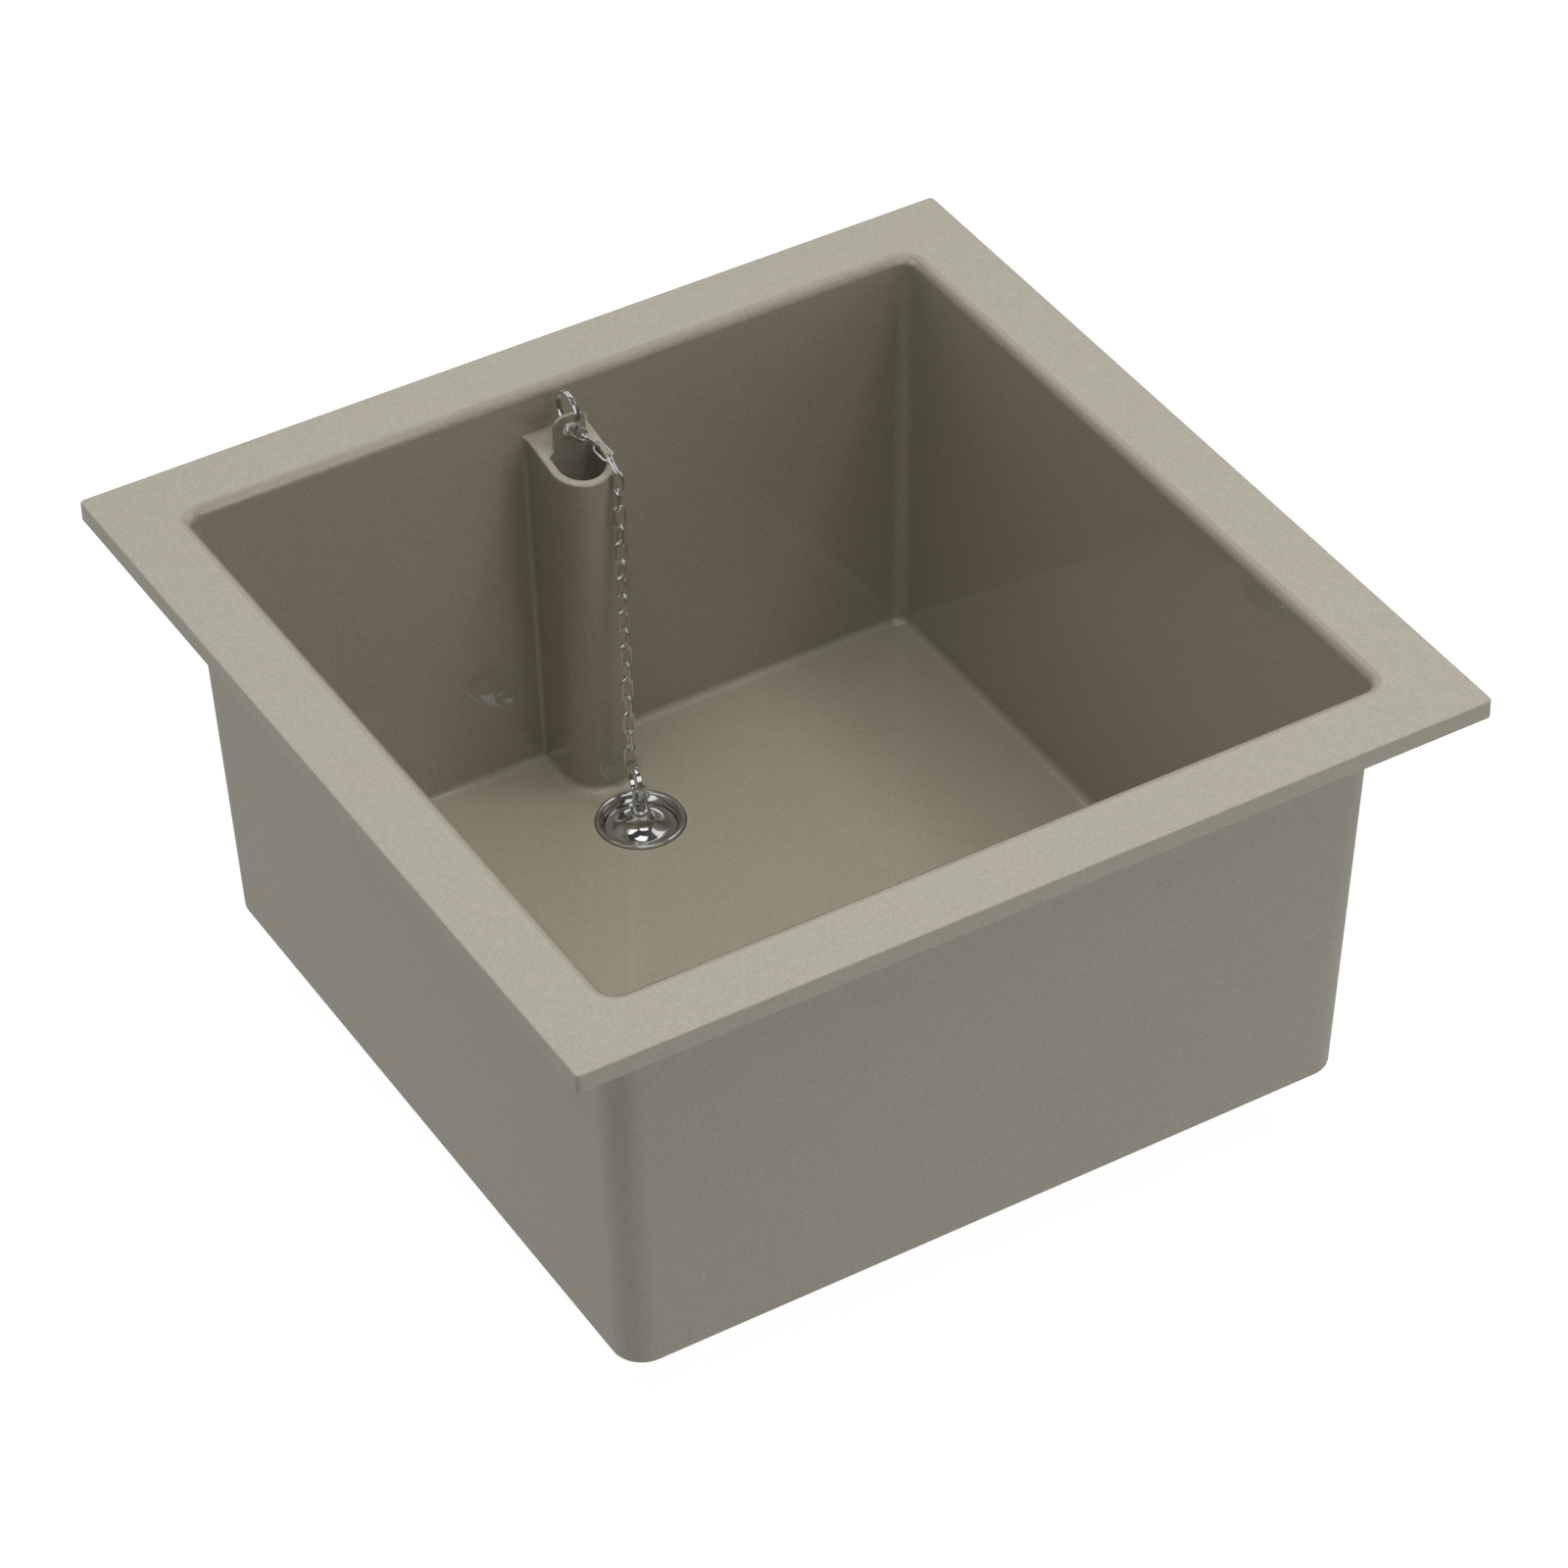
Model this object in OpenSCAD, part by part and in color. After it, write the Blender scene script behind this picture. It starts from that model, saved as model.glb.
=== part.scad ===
// Square inset cleaner's sink with a flat rim, an integral overflow column in
// its back wall, a flanged waste and a plug on a link chain.
// Millimetres. X to the right, Y to the back, Z up. The lowest point of the
// waste tail is at Z = 0 and the bowl is centred on X = Y = 0.

/* [Rim] */
// Width and depth of the square rim
rim_w = 480; // [470:1:500]
// Thickness of the rim
rim_t = 10.2; // [9:0.1:12]
// Plan radius of the rim's outer corners
rim_corner_r = 2.5; // [1:0.5:6]
// Radius of the rounded edge between rim and bowl
mouth_r = 8; // [6:0.5:9]

/* [Bowl] */
// Half width of the bowl at the level of the rim's top face
bowl_half = 200.1; // [198:0.1:203]
// Inward lean of the bowl's walls, in millimetres per millimetre
draft = 0.0365; // [0.03:0.001:0.04]
// Depth of the bowl
bowl_depth = 220; // [215:1:225]
// Thickness of the bowl's walls
wall_t = 6; // [5.5:0.1:6.5]
// Thickness of the bowl's floor
floor_t = 16; // [15:0.5:18]
// Radius of the bowl's outside corners
outer_corner_r = 15.5; // [13:0.5:18]
// Radius of the bowl's inside corners
inner_corner_r = 8; // [7:0.5:10]
// Height of the rounded edge round the floor
floor_edge_r = 5; // [4:0.5:6]

/* [Overflow column] */
// Sideways place of the column's centre line
column_x = -2.5; // [-4:0.5:0]
// Outside radius of the column at its lip
column_r = 16.9; // [16.5:0.1:17.5]
// Radius of the overflow shaft inside the column
shaft_r = 12.4; // [12:0.1:12.8]
// Slope of the lip's top face, in degrees
lip_slope = 12; // [10:1:13]
// Thickness of the chain tab
tab_t = 2; // [1.8:0.1:2.4]
// Width of the chain tab
tab_w = 18; // [17:0.5:18.5]
// Radius of the hole in the chain tab
tab_hole_r = 3.8; // [3.4:0.1:4]

/* [Waste] */
// Radius of the waste's flange
flange_r = 22.9; // [22.5:0.1:23.1]
// Radius of the waste's bore
waste_bore_r = 13.9; // [13.8:0.1:14.1]
// Radius over the waste tail's thread
tail_r = 16.625; // [16.5:0.005:16.7]
// Length of the tail below the bowl's outside
tail_drop = 44; // [42:1:50]
// Width across the flats of the backnut
nut_flats = 45; // [43:1:48]

/* [Plug] */
// Radius of the plug's metal cap
cap_r = 18.1; // [17.9:0.1:18.2]
// Radius of the rubber seal under the cap
seal_r = 13.6; // [13.4:0.1:13.6]
// Wire radius of the plug's eye
eye_wire_r = 0.9; // [0.8:0.05:0.9]

/* [Chain] */
// Wire radius of a chain link
link_wire_r = 0.65; // [0.55:0.05:0.65]
// Length over a chain link
link_l = 13.6; // [13.2:0.1:13.6]
// Width over a chain link
link_w = 6.8; // [6.6:0.1:6.8]
// Outer radius of the two split rings
ring_r = 10.5; // [10.3:0.1:10.5]
// Width of the split rings' band
ring_w = 2.7; // [2.4:0.1:2.7]
// Thickness of the split rings' band
ring_t = 1.3; // [1.1:0.1:1.3]

/* [Hidden] */
$fn = 64;
e = 0.01;
// Everything below is laid out with the rim's top face at height 0
outside_depth = bowl_depth + floor_t;
total_h = outside_depth + tail_drop;
shaft_back = 186.5;
lip_back_z = -25.4;
lip_back_y = 199;
plug_x = -5.7;
plug_y = 123.3;
groove_z = -outside_depth + 3.5;
groove_h = 6;
seat_z = -bowl_depth - 4.9;
recess_z = -bowl_depth - 3.4;
// Collar under the flange, which holds the plug's seat
collar_r = 19.9;
collar_z = seat_z - 1.3;

// Colours
clay = [0.64, 0.62, 0.56];
chrome = [0.80, 0.81, 0.82];
rubber = [0.13, 0.13, 0.14];
nylon = [0.88, 0.87, 0.82];
brass = [0.78, 0.66, 0.40];

// Half width of the bowl's inside at a height
function inner_half(z) = bowl_half + draft * z;
function outer_half(z) = inner_half(z) + wall_t;
// Centre line of the column leans with the back wall
function column_y(z) = 176.75 + draft * (z + 29.5);
function column_rad(z) = column_r + 0.0084 * (-29.5 - z);

module rounded_plate(half, r, t = e) {
  for (i = [-1, 1], j = [-1, 1])
    translate([i * (half - r), j * (half - r), 0]) cylinder(r = r, h = t, $fn = 32);
}

// A tapered square block with round corners, from one height to another
module frustum(z0, half0, r0, z1, half1, r1) {
  hull() {
    translate([0, 0, z0]) rounded_plate(half0, r0);
    translate([0, 0, z1 - e]) rounded_plate(half1, r1);
  }
}

module rim() {
  h = rim_w / 2;
  c = rim_corner_r;
  translate([0, 0, -rim_t]) linear_extrude(rim_t) union() {
    square([rim_w - 2 * c, rim_w], center = true);
    square([rim_w, rim_w - 2 * c], center = true);
    for (i = [-1, 1], j = [-1, 1]) translate([i * (h - c), j * (h - c)]) circle(c);
  }
}

// Outline of the column: half a circle to the front and straight sides back
// into the wall
module column_outline(z, r, back) {
  translate([column_x, column_y(z), z]) cylinder(r = r, h = e, $fn = 40);
  translate([column_x - r, column_y(z), z]) cube([2 * r, back - column_y(z), e]);
}

module column_solid() {
  intersection() {
    hull() {
      column_outline(-20, column_rad(-20), inner_half(-20) + 3);
      column_outline(-bowl_depth - 2, column_rad(-bowl_depth), inner_half(-bowl_depth) + 3);
    }
    translate([column_x, lip_back_y, lip_back_z]) rotate([lip_slope, 0, 0])
      translate([-40, -70, -260]) cube([80, 90, 260]);
  }
}

// The shaft's outline, narrower at the back where the tab stands
module shaft_outline(z) {
  b = shaft_back + draft * (z + 29.5) * (z < -29.5 ? 1 : 0);
  translate([column_x, column_y(z) - 0.5, z]) cylinder(r = shaft_r, h = e, $fn = 40);
  translate([0, 0, z]) linear_extrude(e) polygon([
    [column_x - shaft_r, column_y(z) - 0.5], [column_x + shaft_r, column_y(z) - 0.5],
    [column_x + shaft_r, b - 2.4], [column_x + tab_w / 2, b],
    [column_x - tab_w / 2, b], [column_x - shaft_r, b - 2.4]]);
}

module shaft() {
  hull() {
    shaft_outline(-16);
    shaft_outline(groove_z);
  }
}

module chain_tab() {
  x0 = column_x - tab_w / 2 + 0.5;
  x1 = column_x + tab_w / 2 + 0.5;
  top = -9.5;
  r = 5.5;
  difference() {
    translate([0, shaft_back + tab_t, 0]) rotate([90, 0, 0]) linear_extrude(tab_t) union() {
      translate([x0, -34]) square([tab_w, 34 + top - r]);
      translate([x0 + r, -34]) square([tab_w - 2 * r, 34 + top]);
      translate([x0 + r, top - r]) circle(r);
      translate([x1 - r, top - r]) circle(r);
    }
    translate([column_x + 0.5, shaft_back - 5, -18]) rotate([-90, 0, 0])
      cylinder(r = tab_hole_r, h = 12);
  }
}

module basin() {
  color(clay) translate([0, 0, total_h]) union() {
    difference() {
      union() {
        difference() {
          union() {
            rim();
            frustum(-outside_depth, outer_half(-outside_depth), outer_corner_r,
                    -rim_t / 2, outer_half(-rim_t), outer_corner_r);
          }
          frustum(-bowl_depth, inner_half(-bowl_depth) - floor_edge_r * 0.8, inner_corner_r,
                  -bowl_depth + floor_edge_r + e, inner_half(-bowl_depth + floor_edge_r), inner_corner_r);
          frustum(-bowl_depth + floor_edge_r, inner_half(-bowl_depth + floor_edge_r), inner_corner_r,
                  -mouth_r + e, inner_half(-mouth_r), inner_corner_r);
          frustum(-mouth_r, inner_half(-mouth_r), inner_corner_r,
                  -mouth_r * 0.293 + e, inner_half(-mouth_r) + mouth_r * 0.293, inner_corner_r + mouth_r * 0.293);
          frustum(-mouth_r * 0.293, inner_half(-mouth_r) + mouth_r * 0.293, inner_corner_r + mouth_r * 0.293,
                  2 * e, inner_half(-mouth_r) + mouth_r, inner_corner_r + mouth_r);
        }
        column_solid();
      }
      shaft();
      // Channel in the floor from the shaft to the waste
      translate([-11, plug_y, groove_z]) cube([14, 172 - plug_y, groove_h]);
      // Hole, ring groove and seat for the waste
      translate([plug_x, plug_y, 0]) {
        translate([0, 0, -outside_depth - 1]) cylinder(r = tail_r + 1, h = floor_t + 2);
        translate([0, 0, groove_z]) cylinder(r = 21, h = groove_h);
        translate([0, 0, groove_z + groove_h - 0.1]) cylinder(r = collar_r + 0.4, h = 10);
        translate([0, 0, recess_z]) cylinder(r = flange_r + 0.5, h = 10);
      }
    }
    chain_tab();
  }
}

module at_waste() { translate([plug_x, plug_y, total_h]) children(); }

module waste_body() {
  fr = flange_r;
  color(chrome) at_waste() {
    difference() {
      rotate_extrude() polygon([
        [waste_bore_r + 0.6, -outside_depth - tail_drop], [tail_r - 0.6, -outside_depth - tail_drop],
        [tail_r, -outside_depth - tail_drop + 0.6],
        // Undercut between the trap's thread and the backnut's thread
        [tail_r, -outside_depth - 16.8], [tail_r - 0.7, -outside_depth - 16.3],
        [tail_r - 0.7, -outside_depth - 15.7], [tail_r, -outside_depth - 15.2],
        [tail_r, collar_z], [collar_r - 0.4, collar_z], [collar_r, collar_z + 0.4],
        [collar_r, recess_z + 1],
        [fr - 0.4, recess_z + 1], [fr, recess_z + 1.4],
        [fr, -bowl_depth + 0.7], [fr - 0.2, -bowl_depth + 1.2], [fr - 0.7, -bowl_depth + 1.5],
        [fr - 1.4, -bowl_depth + 1.55], [fr - 2.1, -bowl_depth + 1.3], [fr - 2.7, -bowl_depth + 0.8],
        [fr - 3.1, -bowl_depth + 0.1], [cap_r + 0.6, -bowl_depth - 3], [cap_r + 0.35, seat_z + 1],
        [cap_r + 0.35, seat_z],
        [waste_bore_r + 1.3, seat_z], [waste_bore_r, seat_z - 1.8],
        [waste_bore_r, -outside_depth - tail_drop + 0.6]]);
      // Overflow slots, level with the groove in the floor
      for (a = [90, 210, 330]) rotate([0, 0, a])
        translate([10, -5, groove_z]) cube([12, 10, groove_h]);
    }
    // Cross bars that keep solids out of the trap
    for (a = [45, 135]) rotate([0, 0, a])
      translate([-waste_bore_r - 0.8, -1.2, -outside_depth - 3])
        cube([2 * waste_bore_r + 1.6, 2.4, 3]);
  }
}

module flat_ring(r_in, r_out, z0, z1) {
  translate([0, 0, z0]) difference() {
    cylinder(r = r_out, h = z1 - z0);
    translate([0, 0, -1]) cylinder(r = r_in, h = z1 - z0 + 2);
  }
}

module flange_seal() {
  color(rubber) at_waste() flat_ring(collar_r + 0.3, flange_r - 0.5, recess_z, recess_z + 1);
}

module under_washer() {
  color(rubber) at_waste() flat_ring(tail_r + 0.2, 28, -outside_depth - 4, -outside_depth);
}

module slip_washer() {
  color(nylon) at_waste() flat_ring(tail_r + 0.2, 26, -outside_depth - 5.5, -outside_depth - 4);
}

module backnut() {
  color(brass) at_waste() translate([0, 0, -outside_depth - 15]) difference() {
    union() {
      cylinder(r = nut_flats / sqrt(3), h = 9.5 - 2, $fn = 6);
      translate([0, 0, 7]) cylinder(r = nut_flats / 2 + 1.5, h = 2.5);
    }
    translate([0, 0, -1]) cylinder(r = tail_r + 0.075, h = 12);
  }
}

// The plug is laid out round its own axis, with the seat at seat_z
module plug_cap() {
  b = seat_z + 0.15;
  f = -bowl_depth;
  color(chrome) at_waste() difference() {
    rotate_extrude() polygon([
      [0, b], [cap_r - 0.3, b], [cap_r, b + 0.3], [cap_r, f - 3.75], [cap_r - 0.25, f - 3.5],
      [cap_r - 1.2, f - 3.45], [15.2, f - 3.55], [13.8, f - 3.35], [12.5, f - 2.9], [11, f - 2.2],
      [9.5, f - 1.25], [8, f - 0.1], [7.1, f + 1], [6.3, f + 2.5], [5.7, f + 4.2], [5.3, f + 5.8],
      [5, f + 6.8], [4.6, f + 7.5], [4, f + 7.9],
      [3.2, f + 8], [0, f + 8]]);
    // Blind holes for the eye's feet, and the screw's hole from below
    for (s = [-1, 1]) rotate([0, 0, -14]) translate([s * 3, 0, f + 4]) cylinder(r = eye_wire_r + 0.05, h = 10, $fn = 32);
    translate([0, 0, b - 1]) cylinder(r = 2.05, h = 5, $fn = 32);
  }
}

module plug_seal() {
  t = seat_z + 0.15;
  color(rubber) at_waste() difference() {
    rotate_extrude() polygon([
      [0, t - 4], [seal_r - 1, t - 4], [seal_r - 0.5, t - 3.5], [seal_r, t - 1.6],
      [seal_r, t], [0, t]]);
    translate([0, 0, t - 5]) cylinder(r = 2.05, h = 6, $fn = 32);
  }
}

module plug_retainer() {
  t = seat_z + 0.15 - 4;
  color(chrome) at_waste() flat_ring(2.05, 9, t - 1.2, t);
}

module plug_screw() {
  t = seat_z + 0.15 - 5.2;
  color(brass) at_waste() difference() {
    union() {
      translate([0, 0, t - 1.8]) cylinder(r = 3.8, h = 1.8, $fn = 32);
      translate([0, 0, t - 0.5]) cylinder(r = 2, h = 9.3, $fn = 32);
    }
    translate([-5, -0.5, t - 2.8]) cube([10, 1, 1.9]);
  }
}

module plug_eye() {
  f = -bowl_depth;
  color(chrome) at_waste() rotate([0, 0, -14]) {
    for (s = [-1, 1]) translate([s * 3, 0, f + 4.1]) cylinder(r = eye_wire_r, h = 14.9, $fn = 32);
    translate([0, 0, f + 19]) rotate([90, 0, 0]) rotate_extrude(angle = 180)
      translate([3, 0]) circle(eye_wire_r, $fn = 32);
  }
}

// A split ring: a flat band with a hairline split, its axis along X
module split_ring() {
  rotate([0, 90, 0]) difference() {
    translate([0, 0, -ring_w / 2]) cylinder(r = ring_r, h = ring_w);
    translate([0, 0, -ring_w]) cylinder(r = ring_r - ring_t, h = 2 * ring_w);
    rotate([0, 0, 180]) translate([0, -0.15, -ring_w]) cube([2 * ring_r, 0.3, 2 * ring_w]);
  }
}

upper_ring_c = [-2, 187.7, -7.5];
lower_ring_c = [-4.1, 130.1, -200.1];

module upper_ring() {
  color(chrome) translate([0, 0, total_h]) translate(upper_ring_c) split_ring();
}

module lower_ring() {
  color(chrome) translate([0, 0, total_h]) translate(lower_ring_c)
    rotate([0, 0, -14]) rotate([125, 0, 0]) split_ring();
}

// Chain: the first four links cross the overflow's mouth and its lip, the rest
// hang in a straight line to the plug
top_joints = [[-3.7, 181.6, -14.2], [1.8, 180.3, -19.3], [7.4, 177.5, -25.5],
  [8.7, 167.2, -27.3], [8.6, 159.2, -32.1]];
run_end = [-2.1, 138.3, -185.3];
run_links = 16;
// Direction that the broad side of every second link faces
facing = [-0.398, -0.682, 0.615];
// Turn of the links about their own length: the hanging run is twisted as a whole
function link_turn(k) = k == 1 ? -10 : k < 4 ? 0 : k == 4 ? 13 : k == 5 ? 33 : k == 6 ? 8
  : k == 7 ? -17 : k < 20 ? -30 : k == 20 ? -20 : -5;
function unit(v) = v / norm(v);
function run_point(i) = top_joints[4] + (run_end - top_joints[4]) * i / run_links;
function joint(i) = i < 4 ? top_joints[i] : run_point(i - 4);
function link_dir(k) = unit(joint(k) - joint(k - 1));
function side_raw(k) = let (u = link_dir(k)) k % 2 == 1 ? cross(u, facing) : facing - (facing * u) * u;
function link_side(k) = let (u = link_dir(k), w = unit(side_raw(k)), a = link_turn(k))
  w * cos(a) + cross(u, w) * sin(a);

// One oval link, long along Z and broad along X
module oval_link() {
  w = link_w / 2 - link_wire_r;
  s = link_l / 2 - link_w / 2;
  for (i = [-1, 1]) translate([i * w, 0, -s]) cylinder(r = link_wire_r, h = 2 * s, $fn = 24);
  for (a = [0, 180]) rotate([0, a, 0]) translate([0, 0, s]) rotate([90, 0, 0])
    rotate_extrude(angle = 180) translate([w, 0]) circle(link_wire_r, $fn = 24);
}

module chain_link(k) {
  u = link_dir(k);
  w = link_side(k);
  v = cross(u, w);
  c = (joint(k - 1) + joint(k)) / 2;
  color(chrome) translate([0, 0, total_h]) multmatrix([
    [w[0], v[0], u[0], c[0]], [w[1], v[1], u[1], c[1]], [w[2], v[2], u[2], c[2]], [0, 0, 0, 1]])
    oval_link();
}

basin();
waste_body();
flange_seal();
under_washer();
slip_washer();
backnut();
plug_cap();
plug_seal();
plug_retainer();
plug_screw();
plug_eye();
lower_ring();
upper_ring();
chain_link(1);  // link_01
chain_link(2);  // link_02
chain_link(3);  // link_03
chain_link(4);  // link_04
chain_link(5);  // link_05
chain_link(6);  // link_06
chain_link(7);  // link_07
chain_link(8);  // link_08
chain_link(9);  // link_09
chain_link(10);  // link_10
chain_link(11);  // link_11
chain_link(12);  // link_12
chain_link(13);  // link_13
chain_link(14);  // link_14
chain_link(15);  // link_15
chain_link(16);  // link_16
chain_link(17);  // link_17
chain_link(18);  // link_18
chain_link(19);  // link_19
chain_link(20);  // link_20
chain_link(21);  // link_21
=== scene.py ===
import math

import bmesh
import bpy
import numpy as np
from mathutils import Matrix, Vector


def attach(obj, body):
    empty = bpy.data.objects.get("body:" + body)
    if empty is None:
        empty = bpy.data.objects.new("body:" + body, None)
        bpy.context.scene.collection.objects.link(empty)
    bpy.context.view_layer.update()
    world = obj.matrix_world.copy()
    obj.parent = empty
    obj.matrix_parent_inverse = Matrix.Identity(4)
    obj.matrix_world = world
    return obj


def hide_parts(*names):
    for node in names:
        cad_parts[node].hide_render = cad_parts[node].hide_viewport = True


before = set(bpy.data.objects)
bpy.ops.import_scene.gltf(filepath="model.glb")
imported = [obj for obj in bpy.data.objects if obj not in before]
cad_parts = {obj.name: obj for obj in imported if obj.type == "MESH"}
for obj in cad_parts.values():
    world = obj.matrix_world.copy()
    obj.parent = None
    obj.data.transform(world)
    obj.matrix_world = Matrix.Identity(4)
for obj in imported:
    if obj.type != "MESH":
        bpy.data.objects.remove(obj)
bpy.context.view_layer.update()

# ---------------------------------------------------------------- numbers (millimetres, rim's top face at 0)
HT = 280.0
K = 0.0365
SL = math.sqrt(1 + K * K)
LEAN = math.degrees(math.atan(K))
KI = 0.0465
SLI = math.sqrt(1 + KI * KI)
LEAN_I = math.degrees(math.atan(KI))
MOUTH = 5.0
COL_X = -2.5
WASTE = (-5.7, 123.3)


def inner(z):
    return 202.3 + KI * z


def col_y(z):
    return 176.75 + K * (z + 29.5)


def col_r(z):
    return 16.9 + 0.0084 * (-29.5 - z)


def lip(y):
    return -25.4 + math.tan(math.radians(12)) * (y - 199)


def mesh_object(name, verts, faces):
    """A mesh from points in millimetres, with the rim's top face at 0."""
    me = bpy.data.meshes.new(name)
    me.from_pydata([(x / 1000, y / 1000, (z + HT) / 1000) for x, y, z in verts], [], faces)
    bm = bmesh.new()
    bm.from_mesh(me)
    bmesh.ops.recalc_face_normals(bm, faces=bm.faces[:])
    bm.to_mesh(me)
    bm.free()
    o = bpy.data.objects.new(name, me)
    bpy.context.scene.collection.objects.link(o)
    return o


def stack(name, rings, cap_low=True, cap_high=True):
    """A closed solid from rings with the same number of points each."""
    n = len(rings[0])
    verts = [p for r in rings for p in r]
    faces = []
    for i in range(len(rings) - 1):
        for j in range(n):
            a, b = i * n + j, i * n + (j + 1) % n
            faces.append((a, b, b + n, a + n))
    if cap_low:
        faces.append(tuple(range(n))[::-1])
    if cap_high:
        m = (len(rings) - 1) * n
        faces.append(tuple(range(m, m + n)))
    return mesh_object(name, verts, faces)


def boolean(obj, other, operation):
    m = obj.modifiers.new("b", "BOOLEAN")
    m.operation = operation
    m.object = other
    m.solver = "EXACT"
    dg = bpy.context.evaluated_depsgraph_get()
    dg.update()
    me = bpy.data.meshes.new_from_object(obj.evaluated_get(dg))
    obj.modifiers.clear()
    obj.data = me
    bpy.data.objects.remove(other, do_unlink=True)


def arc(cx, cz, r, a0, a1, n):
    return [(cx + r * math.cos(math.radians(a0 + (a1 - a0) * i / n)),
             cz + r * math.sin(math.radians(a0 + (a1 - a0) * i / n))) for i in range(n + 1)]


# ---------------------------------------------------------------- basin
def square_ring(h, r, z, nc=12, ns=6):
    pts = []
    sgn = [(1, 1), (-1, 1), (-1, -1), (1, -1)]
    corners = []
    for q, (sx, sy) in enumerate(sgn):
        cx, cy = sx * (h - r), sy * (h - r)
        corners.append([(cx + r * math.cos(math.radians(90 * q + 90 * j / nc)),
                         cy + r * math.sin(math.radians(90 * q + 90 * j / nc))) for j in range(nc + 1)])
    for q in range(4):
        pts += corners[q]
        a, b = corners[q][-1], corners[(q + 1) % 4][0]
        pts += [(a[0] + (b[0] - a[0]) * i / ns, a[1] + (b[1] - a[1]) * i / ns) for i in range(1, ns)]
    return [(x, y, z) for x, y in pts]


def make_tub():
    prof = []  # half width, corner radius, height
    rb, zo = 1.4, -236.0
    ho = 206.1
    # bottom edge
    zc = zo + rb
    hc = ho + K * zc - rb * SL
    prof.append((hc - 12, 4.0, zo))
    for h, z in arc(hc, zc, rb, -90, -LEAN, 5):
        prof.append((h, 15.5 - (ho + K * z - h), z))
    # fillet under the rim
    rf, zr = 1.5, -10.2
    zc = zr - rf
    hc = ho + K * zc + rf * SL
    for h, z in arc(hc, zc, rf, 180 - LEAN, 90, 5):
        prof.append((h, 15.5 + (h - ho - K * z), z))
    # rim's edge
    for h, z in arc(240 - 0.5, zr + 0.5, 0.5, -90, 0, 3):
        prof.append((h, 2.5 - (240 - h), z))
    for h, z in arc(240 - 0.9, -0.9, 0.9, 0, 90, 5):
        prof.append((h, 2.5 - (240 - h), z))
    prof.append((238.5, 1.0, 0))
    # mouth, with a narrow strip of rim next to it
    rm = MOUTH
    hc = inner(-rm) + rm * SLI
    prof.append((hc + 0.5, 8.5 + (hc - inner(0)), 0))
    for h, z in arc(hc, -rm, rm, 90, 180 - LEAN_I, 12):
        prof.append((h, 8 + (h - inner(z)), z))
    # floor edge
    rf, zf = 5.0, -220.0
    zc = zf + rf
    hc = inner(zc) - rf * SLI
    prof.append((inner(-110), 8.0, -110))
    for h, z in arc(hc, zc, rf, -LEAN_I, -90, 9):
        prof.append((h, 8 - (inner(z) - h), z))
    prof.append((hc - 6, 2.5, zf))
    return stack("basin_shape", [square_ring(h, r, z) for h, r, z in prof])


def column_half(o, z_of, rc=2.6, eps=0.02, extra=2.6):
    """Left half of the column's outline, from inside the back wall to the front; z_of gives a point's height."""
    raw = [("w", extra)]
    raw += [("c", a) for a in np.linspace(90, 0, 7)]
    raw += [("s", t) for t in np.linspace(0, 1, 7)[1:-1]]
    raw += [("a", a) for a in np.linspace(180, 270, 17)]
    out = []
    for kind, v in raw:
        z = -100.0
        for _ in range(4):
            yw, yc, r = inner(z), col_y(z), col_r(z) + o
            if kind == "w":
                x, y = -(r + rc), yw + v
            elif kind == "c":
                x = -(r + rc) + rc * math.cos(math.radians(v))
                y = yw + eps - rc + rc * math.sin(math.radians(v))
            elif kind == "s":
                x, y = -r, (yw + eps - rc) * (1 - v) + yc * v
            else:
                x, y = r * math.cos(math.radians(v)), yc + r * math.sin(math.radians(v))
            z = z_of(y, yw)
        out.append((x, y, z))
    return out


def make_column():
    rt, rfoot, rw = 1.3, 4.0, 1.6

    def top(y, yw):
        d = yw - y
        f = 0.0
        if d < rw:
            d = max(d, 0.0)
            f = rw - math.sqrt(rw * rw - (rw - d) ** 2)
        return lip(y) + f

    levels = []
    for a in np.linspace(90, 0, 6):
        c, s = math.cos(math.radians(a)), math.sin(math.radians(a))
        levels.append((-rt * (1 - c), lambda y, yw, s=s: top(y, yw) - rt * (1 - s)))
    for v in (0.3, 0.65):
        levels.append((0.0, lambda y, yw, v=v: (top(y, yw) - rt) * (1 - v) - 216 * v))
    for a in np.linspace(0, 90, 8):
        c, s = math.cos(math.radians(a)), math.sin(math.radians(a))
        levels.append((rfoot * (1 - c), lambda y, yw, s=s: -220.01 + rfoot * (1 - s)))
    levels.append((rfoot, lambda y, yw: -222.5))
    rings = []
    for o, zf in levels:
        half = column_half(o, zf)
        left = [(COL_X + x, y, z) for x, y, z in half]
        right = [(COL_X - x, y, z) for x, y, z in half[:-1]][::-1]
        rings.append(left + right)
    n = len(rings[0])
    m = len(column_half(0, lambda y, yw: -100.0))
    verts = [p for r in rings for p in r]
    faces = []
    for i in range(len(rings) - 1):
        for j in range(n):
            a, b = i * n + j, i * n + (j + 1) % n
            faces.append((a, b, b + n, a + n))
    for base in (0, (len(rings) - 1) * n):  # caps: strips between the two halves
        for j in range(m - 2):
            faces.append((base + j, base + j + 1, base + n - 2 - j, base + n - 1 - j))
        faces.append((base + m - 2, base + m - 1, base + m))
    return mesh_object("column", verts, faces)


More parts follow.
